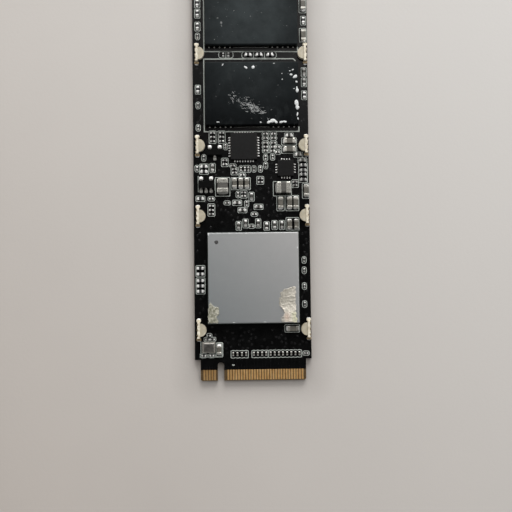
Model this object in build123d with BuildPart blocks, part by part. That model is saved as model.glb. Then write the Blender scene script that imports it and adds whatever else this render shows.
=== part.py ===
"""A gumstick solid state drive: a bare, keyed 22 x 80 mm card with its parts on one face.

Millimetres. The origin is under the middle of the card: X runs across the card, Y along it from the
edge connector (-Y) to the screw notch (+Y), and Z up out of the component side.

Along the card lie the edge connector's tongue, a strip for the clock and coupling parts, the
controller, the power section, and as many flash memory packages as fit in front of the screw notch.
"""
import os

from build123d import *

os.makedirs("parts", exist_ok=True)

# Card
card_width = 22.0
card_length = 80.0
board_thickness = 0.8
shoulder_width = 1.075
tongue_length = 4.0
tongue_corner_chamfer = 0.3
tongue_edge_bevel = 0.15
card_corner_radius = 0.5

# Key notch in the tongue
key_side_distance = 3.8
key_width = 1.2
key_depth = 3.5

# Edge contacts
contact_pitch = 0.5
contact_width = 0.35
contact_length = 1.9
contact_setback = 0.2
contact_corner_margin = 0.45
key_bare_width = 2.0
copper_thickness = 0.035

# Screw notch with its plated ring
screw_notch_diameter = 3.5
screw_ring_width = 1.0
screw_ring_clearance = 0.2

# Zones along the card, and the spare width beside the packages
connector_strip = 6.7
power_length = 20.3
controller_side_strip = 2.35
flash_side_strip = 2.15
flash_gap = 3.4
controller_shift = 0.2
flash_shift = 0.25

# Controller
substrate_thickness = 0.4
lid_inset = 0.15
lid_thickness = 0.6
lid_chamfer = 0.08
controller_ball_pitch = 1.0
controller_ball_margin = 0.4

# Flash memory packages
flash_width = 12.0
flash_thickness = 0.9
flash_ball_pitch = 1.0
flash_ball_margin = 0.4
flash_bare_width = 5.4

# Solder balls
ball_diameter = 0.5
ball_height = 0.25

# Leadless packages
lead_thickness = 0.2
lead_length = 0.4
lead_toe = 0.2
lead_pitch = 0.5
lead_width = 0.26
thermal_pad_gap = 0.35
manager_size = 5.0
manager_height = 0.85
manager_side_lead_count = 8
regulator_size = 3.0
regulator_height = 0.75
regulator_side_lead_count = 4

# Small outline packages with gull-wing leads
outline_body_length = 2.9
five_lead_body_width = 1.4
transistor_body_width = 1.2
outline_body_height = 0.9
outline_standoff = 0.08
outline_draft_angle = 8.0
gull_pitch = 0.95
gull_width = 0.42
gull_thickness = 0.15
gull_foot = 0.4
gull_shank = 0.3

# Power inductors
inductor_length = 2.5
inductor_width = 2.0
inductor_height = 1.1
inductor_cap = 0.75
inductor_cap_lip = 0.04
inductor_edge_chamfer = 0.2

# Crystal
crystal_length = 2.4
crystal_width = 2.0
crystal_base_height = 0.4
crystal_rim = 0.18
crystal_lid_height = 0.2
crystal_pad_length = 0.75
crystal_pad_width = 0.65
crystal_pad_height = 0.05

# Edge LEDs
led_inset_left = 0.55
led_inset_right = 0.22
led_carrier_length = 3.1
led_carrier_width = 0.5
led_carrier_height = 0.95
led_notch_count = 3
led_notch_width = 0.4
led_notch_depth = 0.12
led_lens_radius = 1.2
led_lens_height = 0.75
led_terminal_length = 0.45
led_terminal_width = 0.84
led_terminal_height = 0.4

# Chip capacitors and resistors: four case sizes
small_length = 0.6
small_width = 0.3
small_height = 0.28
small_cap = 0.16
medium_length = 1.0
medium_width = 0.5
medium_height = 0.45
medium_cap = 0.26
large_length = 1.6
large_width = 0.8
large_height = 0.75
large_cap = 0.38
bulk_length = 2.0
bulk_width = 0.9
bulk_height = 0.8
bulk_cap = 0.42
cap_lip = 0.02

# Placement grid: columns over the card's width, and rows over each zone's length.
# At these sizes one step is a tenth of a millimetre.
layout_column_count = 220
connector_row_count = 67
controller_row_count = 173
power_row_count = 203
flash_row_count = 120
gap_row_count = 34

# Places worked out from the sizes above
connector_end = -card_length / 2
mounting_end = card_length / 2
shoulder_y = connector_end + tongue_length
tongue_width = card_width - 2 * shoulder_width
key_x = -tongue_width / 2 + key_side_distance
board_top = board_thickness
screw_notch_radius = screw_notch_diameter / 2
screw_ring_radius = screw_notch_radius + screw_ring_width
substrate_size = card_width - 2 * controller_side_strip
lid_size = substrate_size - 2 * lid_inset
controller_y = shoulder_y + connector_strip + substrate_size / 2
power_y = controller_y + substrate_size / 2
flash_length = card_width - 2 * flash_side_strip
flash_start_y = power_y + power_length
flash_pitch = flash_width + flash_gap
flash_room = mounting_end - screw_ring_radius - screw_ring_clearance - flash_start_y
flash_count = int((flash_room + flash_gap) / flash_pitch)
flash_sites = range(1, flash_count + 1)
on_base = (Align.CENTER, Align.CENTER, Align.MIN)

# Each zone of the placement grid: the Y of its row 0 and the length of one row
column_step = card_width / layout_column_count
zones = {
    "connector": (shoulder_y, connector_strip / connector_row_count),
    "controller": (controller_y, substrate_size / controller_row_count),
    "power": (power_y, power_length / power_row_count),
}
for site in flash_sites:
    package_foot_y = flash_start_y + (site - 1) * flash_pitch
    zones[f"flash_{site}"] = (package_foot_y + flash_width / 2, flash_width / flash_row_count)
    zones[f"gap_{site}"] = (package_foot_y, flash_gap / gap_row_count)

# Middle column of the strips beside the controller
strip_column = (layout_column_count / 2 + substrate_size / 2 / column_step) / 2


def spot(zone, column, row, turn=0):
    """A place on the board's upper face, by zone, column and row, turned about Z."""
    origin_y, row_step = zones[zone]
    return Location((column * column_step, origin_y + row * row_step, board_top), (0, 0, turn))


def block(zone, columns, rows):
    """The places at each crossing of some columns and rows of a zone."""
    return [(zone, column, row) for column in columns for row in rows]


def centred_row(count, pitch):
    """Positions of a row of equal steps about zero."""
    return [(index - (count - 1) / 2) * pitch for index in range(count)]


def raised(place, height):
    """The same place at a height above the board."""
    return place * Location((0, 0, height))


def keep(piece, name):
    """Label a finished piece and write it."""
    piece.label = name
    export_step(piece, f"parts/{name}.step")


def contact_columns(stagger):
    """X of each contact on one face: a row at one pitch, bare round the key and at the corners."""
    reach = tongue_width / 2 - contact_corner_margin - contact_width / 2
    steps = int(reach // contact_pitch) + 1
    columns = [stagger + step * contact_pitch for step in range(-steps, steps + 1)]
    return [x for x in columns if abs(x) <= reach and abs(x - key_x) >= key_bare_width / 2]


contact_y = connector_end + contact_setback + contact_length / 2
mask_opening_length = contact_setback + contact_length
copper_floors = {"top": board_top - copper_thickness, "bottom": 0.0}

# Circuit board: stepped outline, key slot, screw notch, and shallow beds for the bare copper
with BuildPart() as circuit_board:
    with BuildSketch():
        with Locations((0, shoulder_y)):
            Rectangle(card_width, card_length - tongue_length, align=(Align.CENTER, Align.MIN))
        mounting_corners = vertices().group_by(Axis.Y)[-1]
        fillet(mounting_corners, card_corner_radius)
        with Locations((0, connector_end)):
            Rectangle(tongue_width, tongue_length, align=(Align.CENTER, Align.MIN))
        tongue_corners = vertices().group_by(Axis.Y)[0]
        chamfer(tongue_corners, tongue_corner_chamfer)
        with Locations((key_x, connector_end)):
            SlotOverall(2 * key_depth, key_width, rotation=90, mode=Mode.SUBTRACT)
        with Locations((0, mounting_end)):
            Circle(screw_notch_radius + copper_thickness, mode=Mode.SUBTRACT)
    extrude(amount=board_thickness)
    tongue_faces = faces().filter_by(Axis.Y).sort_by(Axis.Y)[:2]
    tongue_edges = [edge for face in tongue_faces for edge in face.edges().filter_by(Axis.X)]
    chamfer(tongue_edges, tongue_edge_bevel)
    for floor in copper_floors.values():
        with BuildSketch(Plane.XY.offset(floor)):
            with Locations((0, connector_end)):
                Rectangle(tongue_width, mask_opening_length, align=(Align.CENTER, Align.MIN))
            with Locations((0, mounting_end)):
                Circle(screw_ring_radius)
        extrude(amount=copper_thickness, mode=Mode.SUBTRACT)
keep(circuit_board.part, "circuit_board")

# Edge contacts, half a pitch apart on the two faces
for side, stagger in (("top", contact_pitch / 2), ("bottom", 0.0)):
    with BuildPart() as edge_contacts:
        with Locations(*[(x, contact_y, copper_floors[side]) for x in contact_columns(stagger)]):
            Box(contact_width, contact_length, copper_thickness, align=on_base)
    keep(edge_contacts.part, f"edge_contacts_{side}")

# Plated screw notch: a half ring on each face, joined by the plated wall of the notch
with BuildPart() as screw_ring:
    with BuildSketch():
        with Locations((0, mounting_end)):
            Circle(screw_ring_radius)
            Circle(screw_notch_radius, mode=Mode.SUBTRACT)
            Rectangle(
                2 * screw_ring_radius,
                screw_ring_radius,
                align=(Align.CENTER, Align.MIN),
                mode=Mode.SUBTRACT,
            )
    extrude(amount=board_thickness)
    with BuildSketch(Plane.XY.offset(copper_thickness)):
        with Locations((0, mounting_end)):
            Circle(2 * screw_ring_radius)
            Circle(screw_notch_radius + copper_thickness, mode=Mode.SUBTRACT)
    extrude(amount=board_thickness - 2 * copper_thickness, mode=Mode.SUBTRACT)
keep(screw_ring.part, "screw_ring")


def rim_points(length, width, pitch, margin, bare_width=0.0):
    """Outer ring of a ball grid, as X and Y, with an empty band of columns in the middle."""
    columns = centred_row(int((length - 2 * margin) / pitch), pitch)
    rows = centred_row(int((width - 2 * margin) / pitch), pitch)
    points = [(x, y) for x in columns for y in rows]
    on_rim = [(x, y) for x, y in points if x in (columns[0], columns[-1]) or y in (rows[0], rows[-1])]
    return [(x, y) for x, y in on_rim if abs(x) >= bare_width / 2]


def solder_balls(points, places):
    """Squat six-sided solder balls under the packages at some places."""
    with BuildPart() as balls:
        for place in places:
            with BuildSketch(Plane(place)):
                with Locations(*points):
                    RegularPolygon(ball_diameter / 2, 6)
            extrude(amount=ball_height)
    return balls.part


# Controller: laminate substrate on solder balls, under a flat metal lid
controller_place = spot("controller", controller_shift / column_step, 0)
with BuildPart() as controller_substrate:
    with Locations(raised(controller_place, ball_height)):
        Box(substrate_size, substrate_size, substrate_thickness, align=on_base)
keep(controller_substrate.part, "controller_substrate")

with BuildPart() as controller_lid:
    with Locations(raised(controller_place, ball_height + substrate_thickness)):
        Box(lid_size, lid_size, lid_thickness, align=on_base)
    chamfer(faces().sort_by(Axis.Z)[-1].edges(), lid_chamfer)
keep(controller_lid.part, "controller_lid")

controller_rim = rim_points(substrate_size, substrate_size, controller_ball_pitch, controller_ball_margin)
keep(solder_balls(controller_rim, [controller_place]), "controller_solder_balls")

# Flash memory: moulded packages in line, each on its solder balls
flash_rim = rim_points(flash_length, flash_width, flash_ball_pitch, flash_ball_margin, flash_bare_width)
flash_places = [spot(f"flash_{site}", flash_shift / column_step, 0) for site in flash_sites]
with BuildPart() as flash_packages:
    with Locations(*[raised(place, ball_height) for place in flash_places]):
        Box(flash_length, flash_width, flash_thickness, align=on_base)
keep(flash_packages.part, "flash_packages")
keep(solder_balls(flash_rim, flash_places), "flash_solder_balls")


def leadless_package(name, size, height, side_leads, place):
    """A leadless package: a moulded body seated on a lead frame of perimeter leads and a thermal pad."""
    lead_reach = size / 2 + lead_toe - lead_length / 2
    pad_size = size - 2 * (lead_length - lead_toe + thermal_pad_gap)
    with BuildPart() as lead_frame:
        with Locations(place):
            Box(pad_size, pad_size, lead_thickness, align=on_base)
            with PolarLocations(0, 4):
                with Locations(*[(lead_reach, y, 0) for y in centred_row(side_leads, lead_pitch)]):
                    Box(lead_length, lead_width, lead_thickness, align=on_base)
    keep(lead_frame.part, f"{name}_lead_frame")
    with BuildPart() as body:
        with Locations(raised(place, lead_thickness)):
            Box(size, size, height - lead_thickness, align=on_base)
    keep(body.part, f"{name}_body")


leadless_package(
    "power_manager",
    manager_size,
    manager_height,
    manager_side_lead_count,
    spot("power", -13.5, 163),
)
leadless_package(
    "regulator",
    regulator_size,
    regulator_height,
    regulator_side_lead_count,
    spot("power", 65.5, 121),
)


def gull_wing_points(body_width):
    """Side profile of a gull-wing lead: foot on the board, shank up to the middle of the body."""
    shank_z = outline_standoff + outline_body_height / 2
    body_side = body_width / 2
    knee_y = body_side + gull_shank
    toe_y = knee_y + gull_foot
    return [
        (toe_y, 0),
        (toe_y, gull_thickness),
        (knee_y + gull_thickness, gull_thickness),
        (knee_y, shank_z + gull_thickness / 2),
        (body_side, shank_z + gull_thickness / 2),
        (body_side, shank_z - gull_thickness / 2),
        (knee_y - gull_thickness, shank_z - gull_thickness / 2),
        (knee_y, 0),
    ]


def outline_package(name, body_width, place, front_leads, back_leads):
    """A small outline package: a drafted moulded body held by gull-wing leads on its long sides."""
    mid_height = outline_body_height / 2
    with BuildPart() as body:
        with BuildSketch(Plane(raised(place, outline_standoff + mid_height))):
            Rectangle(outline_body_length, body_width)
        extrude(amount=mid_height, taper=outline_draft_angle, both=True)
    keep(body.part, f"{name}_body")
    with BuildPart() as leads:
        for turn, columns in ((0, back_leads), (180, front_leads)):
            for column in columns:
                lead_place = place * Location((0, 0, 0), (0, 0, turn)) * Location((column, 0, 0))
                with BuildSketch(Plane(lead_place * Plane.YZ.location)):
                    with BuildLine():
                        Polyline(*gull_wing_points(body_width), close=True)
                    make_face()
                extrude(amount=gull_width / 2, both=True)
    keep(leads.part, f"{name}_leads")


outline_package(
    "five_lead_regulator",
    five_lead_body_width,
    spot("power", -86, 91),
    front_leads=centred_row(3, gull_pitch),
    back_leads=centred_row(2, 2 * gull_pitch),
)
outline_package(
    "transistor",
    transistor_body_width,
    spot("power", -69, 152),
    front_leads=[0.0],
    back_leads=centred_row(2, 2 * gull_pitch),
)

# Power inductors: a moulded core between two wrapped end terminals
inductor_places = [spot("power", -54.5, 88, 90), spot("power", 61, 83.5)]
core_length = inductor_length - 2 * inductor_cap
with BuildPart() as inductor_cores:
    for place in inductor_places:
        with BuildSketch(Plane(place * Location((-core_length / 2, 0, 0)) * Plane.YZ.location)):
            with Locations((0, inductor_cap_lip)):
                Rectangle(
                    inductor_width,
                    inductor_height - inductor_cap_lip,
                    align=(Align.CENTER, Align.MIN),
                )
            chamfer(vertices().group_by(Axis.Y)[-1], inductor_edge_chamfer)
        extrude(amount=core_length)
keep(inductor_cores.part, "inductor_cores")

with BuildPart() as inductor_terminals:
    with Locations(*inductor_places):
        with GridLocations(inductor_length - inductor_cap, 0, 2, 1):
            Box(
                inductor_cap,
                inductor_width + 2 * inductor_cap_lip,
                inductor_height + inductor_cap_lip,
                align=on_base,
            )
keep(inductor_terminals.part, "inductor_terminals")

# Crystal: ceramic base on four corner pads, with a seam-welded metal lid
crystal_place = spot("connector", -83.5, 23.5)
with BuildPart() as crystal_pads:
    with Locations(crystal_place):
        with GridLocations(crystal_length - crystal_pad_length, crystal_width - crystal_pad_width, 2, 2):
            Box(crystal_pad_length, crystal_pad_width, crystal_pad_height, align=on_base)
keep(crystal_pads.part, "crystal_pads")

with BuildPart() as crystal_base:
    with Locations(raised(crystal_place, crystal_pad_height)):
        Box(crystal_length, crystal_width, crystal_base_height, align=on_base)
keep(crystal_base.part, "crystal_base")

with BuildPart() as crystal_lid:
    with Locations(raised(crystal_place, crystal_pad_height + crystal_base_height)):
        Box(
            crystal_length - 2 * crystal_rim,
            crystal_width - 2 * crystal_rim,
            crystal_lid_height,
            align=on_base,
        )
    chamfer(faces().sort_by(Axis.Z)[-1].edges(), crystal_lid_height / 2)
keep(crystal_lid.part, "crystal_lid")

# Edge LEDs: a notched carrier bar beside the card's edge, a half-round lens facing inwards, two terminals
led_spots = [("connector", 0, 56), ("power", 0, 31), ("power", 0, 165)]
led_spots += [(f"gap_{site}", 0, -15) for site in flash_sites[1:]]
left_edge_x = -card_width / 2 + led_inset_left
right_edge_x = card_width / 2 - led_inset_right
led_places = []
for led_spot in led_spots:
    middle = spot(*led_spot)
    led_places.append(middle * Location((left_edge_x, 0, 0)))
    led_places.append(middle * Location((right_edge_x, 0, 0), (0, 0, 180)))

with BuildPart() as led_carriers:
    with Locations(*led_places):
        Box(
            led_carrier_width,
            led_carrier_length,
            led_carrier_height,
            align=(Align.MIN, Align.CENTER, Align.MIN),
        )
        notch_pitch = led_carrier_length / led_notch_count
        with Locations(*[(0, y, 0) for y in centred_row(led_notch_count, notch_pitch)]):
            Box(
                led_notch_depth,
                led_notch_width,
                led_carrier_height,
                align=(Align.MIN, Align.CENTER, Align.MIN),
                mode=Mode.SUBTRACT,
            )
keep(led_carriers.part, "led_carriers")

with BuildPart() as led_lenses:
    with Locations(*led_places):
        with Locations((led_carrier_width, 0, 0)):
            Cylinder(
                led_lens_radius,
                led_lens_height,
                arc_size=180,
                rotation=(0, 0, -90),
                align=(Align.CENTER, Align.MIN, Align.MIN),
            )
keep(led_lenses.part, "led_lenses")

with BuildPart() as led_terminals:
    with Locations(*led_places):
        with Locations((led_carrier_width / 2, 0, 0)):
            with GridLocations(0, led_carrier_length + led_terminal_length, 1, 2):
                Box(led_terminal_width, led_terminal_length, led_terminal_height, align=on_base)
keep(led_terminals.part, "led_terminals")


def chips(name, case, across, along):
    """One kind of chip part: ceramic bodies held between metal end caps.

    Parts in across lie along X and parts in along lie along Y, at places of the zones that the card has.
    """
    length, width, height, cap = case
    places = [spot(*place) for place in across if place[0] in zones]
    places += [spot(*place, 90) for place in along if place[0] in zones]
    with BuildPart() as bodies:
        with Locations(*[raised(place, cap_lip) for place in places]):
            Box(length - 2 * cap, width, height - cap_lip, align=on_base)
    keep(bodies.part, f"{name}_bodies")
    with BuildPart() as caps:
        with Locations(*places):
            with GridLocations(length - cap, 0, 2, 1):
                Box(cap, width + 2 * cap_lip, height + cap_lip, align=on_base)
    keep(caps.part, f"{name}_end_caps")


small_case = (small_length, small_width, small_height, small_cap)
medium_case = (medium_length, medium_width, medium_height, medium_cap)
large_case = (large_length, large_width, large_height, large_cap)
bulk_case = (bulk_length, bulk_width, bulk_height, bulk_cap)

chips(
    "small_resistor",
    small_case,
    across=block("power", (-73, -55.5), (190, 182, 174))
    + block("power", (-76.5,), (64, 50.5, 42.5, 35))
    + block("power", (-50,), (137.5, 129.5))
    + block("power", (17,), (102, 95))
    + block("power", (83,), (95, 88.5))
    + block("power", (-15,), (75.5, 69))
    + block("connector", (-86, -77), (38,))
    + block("connector", (-93, -78), (8,))
    + [("connector", -84, 45.5)],
    along=block("power", (27.5,), (142, 127))
    + [("power", -103, 122), ("power", -90, 142.5)]
    + block("controller", (strip_column,), (13, -17, -51))
    + block("gap_2", (-51, -41), (-16.5,)),
)
chips(
    "small_capacitor",
    small_case,
    across=block("power", (28,), (187.5, 179, 170, 162.5, 155))
    + block("power", (43,), (187.5, 179, 170))
    + block("power", (-32,), (120, 113.5))
    + [("power", 42, 162), ("power", 50.5, 162), ("power", 41, 154.5), ("power", 50.5, 152)]
    + [("power", -35, 127), ("power", -17, 109), ("power", -46.5, 56), ("power", 5, 34)]
    + [("power", -1, 11), ("connector", 99.5, 10)],
    along=block("power", (-19.5, -12, -5.5, 5, 17.5), (120.5,))
    + [("power", -48.5, 164), ("power", 41, 143), ("power", -25.5, 72), ("power", -9.5, 54)]
    + [("controller", strip_column, 32.5), ("flash_2", -100, -40.5)]
    + block("flash_1", (-100,), (-20, -63)),
)
chips(
    "medium_resistor",
    medium_case,
    across=block("power", (99,), (126.5, 117, 109, 99))
    + block("power", (-90,), (125.5, 116))
    + block("controller", (-strip_column,), (19, 8, -4.5, -14.5, -24.5))
    + block("gap_2", (-3.5, 17.5, 38.5), (-17,))
    + [("power", -97, 64.5)],
    along=block("flash_2", (-100,), (23.5, 3.5, -21.5))
    + [("flash_1", -100, 10.5), ("flash_1", 103, -1.5), ("flash_2", 103, -10.5)],
)
chips(
    "medium_capacitor",
    medium_case,
    across=[("power", -27.5, 56), ("power", -17.5, 42), ("power", 13, 48)]
    + [("power", 73, 184), ("power", 90, 147), ("power", 98, 136)],
    along=block("power", (-12, 12), (16.5,))
    + block("power", (43, 57), (13,))
    + [("power", -73.5, 123), ("power", 0, 67.5), ("power", -25, 12), ("power", 28, 11)]
    + block("flash_1", (103,), (43.5, 23.5)),
)
chips(
    "large_capacitor",
    large_case,
    across=[],
    along=block("power", (71.5, 84.5), (14,))
    + block("power", (-32, -20, -8.5), (93,))
    + [("connector", -64, 19)],
)
chips(
    "bulk_capacitor",
    bulk_case,
    across=block("power", (73.5,), (173, 157)) + [("connector", 75, 57)],
    along=block("power", (55, 72, 84), (55,))
    + block("flash_2", (102.5,), (19.5, -40.5))
    + [("power", 104, 78)],
)
chips(
    "coupling_capacitor",
    small_case,
    across=[],
    along=block("connector", (-38, -30, -21.5, -13.5), (10,))
    + block("connector", (1, 8.5, 16.5, 24), (10,))
    + block("connector", [32.5 + 7.8 * index for index in range(8)], (10,)),
)
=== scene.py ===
import math
import random

import bmesh
import bpy
from mathutils import Matrix, Vector, noise


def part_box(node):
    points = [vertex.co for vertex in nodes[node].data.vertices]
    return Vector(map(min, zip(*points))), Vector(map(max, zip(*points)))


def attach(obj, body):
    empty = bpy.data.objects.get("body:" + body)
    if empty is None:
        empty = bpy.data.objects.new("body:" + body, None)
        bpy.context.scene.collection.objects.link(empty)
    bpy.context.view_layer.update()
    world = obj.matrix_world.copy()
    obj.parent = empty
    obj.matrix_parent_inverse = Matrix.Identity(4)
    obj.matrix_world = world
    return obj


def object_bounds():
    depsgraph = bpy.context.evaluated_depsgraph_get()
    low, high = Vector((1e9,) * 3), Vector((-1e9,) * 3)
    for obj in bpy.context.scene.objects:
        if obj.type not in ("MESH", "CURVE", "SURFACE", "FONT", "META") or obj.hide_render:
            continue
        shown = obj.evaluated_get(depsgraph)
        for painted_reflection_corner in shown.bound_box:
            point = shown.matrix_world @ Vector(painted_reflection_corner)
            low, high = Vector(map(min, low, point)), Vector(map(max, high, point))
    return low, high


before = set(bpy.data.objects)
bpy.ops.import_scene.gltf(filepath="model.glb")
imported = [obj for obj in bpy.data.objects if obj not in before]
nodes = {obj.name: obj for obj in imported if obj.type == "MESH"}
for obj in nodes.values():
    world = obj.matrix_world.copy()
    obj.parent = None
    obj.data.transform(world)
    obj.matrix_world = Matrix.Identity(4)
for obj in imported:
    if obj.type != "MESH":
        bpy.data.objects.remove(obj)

# Lengths are in millimetres unless a comment says otherwise; MM takes them to Blender's metres
MM = 0.001
cad_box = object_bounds()
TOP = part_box("circuit_board")[1].z / MM
# Solder, ink and copper reach this far into the board
SUNK = 0.004

# Materials

# Inputs and output of Blender's colour mix node
MIX_FACTOR, MIX_FIRST, MIX_SECOND, MIX_RESULT = 0, 6, 7, 2
# Most of Blender's noise lies between these two values
NOISE_LOW, NOISE_HIGH = 0.3, 0.7


def socket(tree, kind, output=0, inputs=None, **settings):
    """One output of a new shader node with these settings and inputs."""
    made = tree.nodes.new(kind)
    for key, value in settings.items():
        setattr(made, key, value)
    for key, value in (inputs or {}).items():
        if isinstance(value, bpy.types.NodeSocket):
            tree.links.new(value, made.inputs[key])
        else:
            made.inputs[key].default_value = value
    return made.outputs[output]


def place(tree):
    """The point on the surface, in metres."""
    return socket(tree, "ShaderNodeTexCoord", "Object")


def grain(tree, size, detail=4.0, rough=0.55, stretch=None):
    """Noise with features of about this size."""
    vector = place(tree)
    if stretch:
        vector = socket(tree, "ShaderNodeVectorMath", 0, {0: vector, 1: stretch}, operation="MULTIPLY")
    return socket(tree, "ShaderNodeTexNoise", 0,
                  {"Vector": vector, "Scale": 1 / (size * MM), "Detail": detail, "Roughness": rough})


def remap(tree, value, low, high, to_low=0.0, to_high=1.0):
    """A value carried from one span to another, and held at its ends."""
    return socket(tree, "ShaderNodeMapRange", 0,
                  {"Value": value, "From Min": low, "From Max": high, "To Min": to_low, "To Max": to_high})


def blend(tree, factor, first, second):
    """A mix of two colours, each given as a triple or a socket."""
    mix = tree.nodes.new("ShaderNodeMix")
    mix.data_type = "RGBA"
    for index, value in ((MIX_FACTOR, factor), (MIX_FIRST, first), (MIX_SECOND, second)):
        if isinstance(value, bpy.types.NodeSocket):
            tree.links.new(value, mix.inputs[index])
        else:
            mix.inputs[index].default_value = (*value, 1.0)
    return mix.outputs[MIX_RESULT]


def math_of(tree, operation, first, second=0.0):
    return socket(tree, "ShaderNodeMath", 0, {0: first, 1: second}, operation=operation)


def times(tree, first, second):
    return math_of(tree, "MULTIPLY", first, second)


def part_of(tree, axis):
    """One coordinate of the surface, in millimetres."""
    split = tree.nodes.new("ShaderNodeSeparateXYZ")
    tree.links.new(place(tree), split.inputs[0])
    return times(tree, split.outputs[axis], 1 / MM)


def near(tree, value, centre, reach):
    """1 round the centre, falling to 0 at the reach on both sides."""
    distance = math_of(tree, "ABSOLUTE", math_of(tree, "SUBTRACT", value, centre))
    return remap(tree, distance, 0.2 * reach, reach, 1.0, 0.0)


def facing_up(tree):
    """1 on level faces, 0 on upright ones."""
    geometry = tree.nodes.new("ShaderNodeNewGeometry")
    split = tree.nodes.new("ShaderNodeSeparateXYZ")
    tree.links.new(geometry.outputs["True Normal"], split.inputs[0])
    return math_of(tree, "ABSOLUTE", split.outputs["Z"])


def finish(name, dark, light, rough, metallic=0.0, size=0.6, bump=0.01, bump_size=0.15, specular=0.5,
           coat=0.0):
    """A surface whose colour, gloss and height vary at the real one's scale."""
    material = bpy.data.materials.new(name)
    material.use_nodes = True
    tree = material.node_tree
    shader = tree.nodes["Principled BSDF"]
    shader.inputs["Metallic"].default_value = metallic
    shader.inputs["Specular IOR Level"].default_value = specular
    shader.inputs["Coat Weight"].default_value = coat
    tone = remap(tree, grain(tree, size), NOISE_LOW, NOISE_HIGH)
    gloss = remap(tree, grain(tree, size * 0.7, 3.0), NOISE_LOW, NOISE_HIGH, *rough)
    bumps = socket(tree, "ShaderNodeBump", 0,
                   {"Height": grain(tree, bump_size), "Distance": bump * MM, "Strength": 1.0})
    tree.links.new(blend(tree, tone, dark, light), shader.inputs["Base Color"])
    tree.links.new(gloss, shader.inputs["Roughness"])
    tree.links.new(bumps, shader.inputs["Normal"])
    return material


def recolour(material, factor, colour):
    """Lays another colour over the one a material has so far."""
    tree = material.node_tree
    base = tree.nodes["Principled BSDF"].inputs["Base Color"]
    tree.links.new(blend(tree, factor, base.links[0].from_socket, colour), base)


# Solder mask: near black, with bare laminate under the edge contacts and on the sawn and bevelled sides
MASK_END, BEVEL_START = -37.9, -39.85
mask = finish("solder_mask", (0.0018, 0.0018, 0.0019), (0.0038, 0.0039, 0.0040), (0.18, 0.27), size=1.4,
              bump=0.006, bump_size=0.35, specular=0.2)
tree = mask.node_tree
weave = remap(tree, grain(tree, 0.12, stretch=(1, 1, 4)), 0.35, 0.65)
bed = remap(tree, part_of(tree, "Y"), MASK_END - 0.02, MASK_END + 0.02, 1.0, 0.0)
recolour(mask, bed, blend(tree, weave, (0.05, 0.032, 0.016), (0.12, 0.08, 0.04)))
sides = remap(tree, facing_up(tree), 0.5, 0.6, 1.0, 0.0)
bevelled = remap(tree, part_of(tree, "Y"), BEVEL_START - 0.01, BEVEL_START + 0.01, 1.0, 0.0)
sawn = math_of(tree, "MAXIMUM", sides, bevelled)
recolour(mask, sawn, blend(tree, weave, (0.10, 0.070, 0.040), (0.24, 0.175, 0.100)))

# Gold contacts, streaked along the way they slide and browner on the left
gold = finish("gold_plate", (0.56, 0.30, 0.10), (0.78, 0.47, 0.18), (0.3, 0.45), metallic=0.6, size=0.5,
              bump=0.006, bump_size=0.12)
tree = gold.node_tree
streak = remap(tree, grain(tree, 0.16, 2.0, stretch=(1, 0.05, 1)), 0.45, 0.75)
recolour(gold, streak, (0.95, 0.68, 0.36))
recolour(gold, remap(tree, part_of(tree, "X"), -7.0, -3.0, 0.45, 0.0), (0.22, 0.12, 0.04))

silk = finish("silkscreen_ink", (0.30, 0.33, 0.31), (0.48, 0.51, 0.48), (0.6, 0.75), size=0.25, bump=0.008,
              bump_size=0.08, specular=0.3)
copper_relief = finish("masked_copper", (0.0025, 0.0025, 0.0028), (0.0055, 0.0055, 0.0060), (0.2, 0.3),
                       size=0.5, bump=0.006, bump_size=0.2, specular=0.3)

# Controller: brushed nickel lid over green-black laminate, with a painted reflection darker towards its lower
# left corner
lid = finish("lid_metal", (0.492, 0.492, 0.492), (0.512, 0.512, 0.512), (0.47, 0.50), metallic=0.7,
             size=1.2, bump=0.002, bump_size=0.07, specular=0.5)
tree = lid.node_tree
across = remap(tree, part_of(tree, "X"), -8.5, 8.5, 0.0, 0.55)
upward = remap(tree, part_of(tree, "Y"), -29.0, -12.0, 0.0, 0.45)
# Painted reflection: the lid's colour darkens towards its lower left corner
painted_reflection_corner = remap(tree, math_of(tree, "ADD", across, upward), 0.1, 1.0, 0.9, 0.0)
recolour(lid, painted_reflection_corner, (0.295, 0.320, 0.332))
wipe = remap(tree, grain(tree, 0.9, 7.0, 0.7, stretch=(0.25, 1.0, 1.0)), 0.55, 0.75, 0.0, 0.07)
recolour(lid, wipe, (0.60, 0.60, 0.59))
substrate = finish("package_laminate", (0.010, 0.016, 0.012), (0.022, 0.030, 0.022), (0.45, 0.6), size=0.4,
                   bump_size=0.1)

# Flash packages: black mould under a painted glare that is brightest in the middle and towards the screw end
flash = finish("flash_mould", (0.0014, 0.0020, 0.0024), (0.0036, 0.0046, 0.0053), (0.34, 0.44), size=1.1,
               bump=0.004, bump_size=0.06, specular=0.045)
tree = flash.node_tree
# Painted glare: the mould is paler towards the screw end and in the middle, mottled by noise
painted_glare = times(tree, remap(tree, part_of(tree, "Y"), 9.0, 27.5, 0.06, 1.0),
             near(tree, part_of(tree, "X"), 0.4, 14.5))
painted_glare = times(tree, painted_glare, remap(tree, grain(tree, 3.0, 7.0, 0.6), NOISE_LOW, NOISE_HIGH, 0.6, 1.1))
recolour(flash, painted_glare, (0.0355, 0.0430, 0.0455))
smear = remap(tree, grain(tree, 2.2, 8.0, 0.72, stretch=(1.0, 0.7, 1.0)), 0.52, 0.80, 0.0, 0.45)
recolour(flash, smear, (0.040, 0.045, 0.047))

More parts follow.
